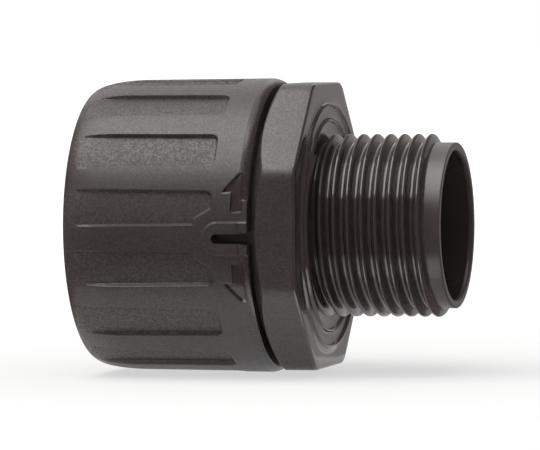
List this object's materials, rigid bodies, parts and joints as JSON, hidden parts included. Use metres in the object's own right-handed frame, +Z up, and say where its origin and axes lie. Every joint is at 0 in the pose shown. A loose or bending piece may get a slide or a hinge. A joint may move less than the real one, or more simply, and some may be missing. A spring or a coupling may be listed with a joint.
{
  "type": "liquidtight conduit connector",
  "caption": "Straight plastic connector that grips corrugated conduit in a domed cap and seals into a panel hole with its threaded spigot.",
  "frame": {"origin": "on the connector's axis, half way between the cap's entry face and the spigot's tip", "axes": "+X along the axis towards the thread; +Z up with one flat of the octagonal flange facing down; the cap's release slot faces -Y"},
  "size_m": [0.04, 0.0317, 0.0314],
  "materials": {
    "body_nylon": "satin black moulded nylon",
    "cap_nylon": "black moulded nylon with a fine spark-eroded grain",
    "ring_acetal": "smooth dark moulded acetal",
    "seal_rubber": "matte black elastomer"
  },
  "bodies": {
    "connector": {"body": "body_nylon", "grip_ring": "ring_acetal", "conduit_seal": "seal_rubber"},
    "cap": {"locking_cap": "cap_nylon"}
  },
  "joints": [
    {"name": "cap_turn", "type": "hinge", "parent": "connector", "child": "cap", "pos_m": [0, 0, 0], "axis": [1, 0, 0], "continuous": true}
  ]
}
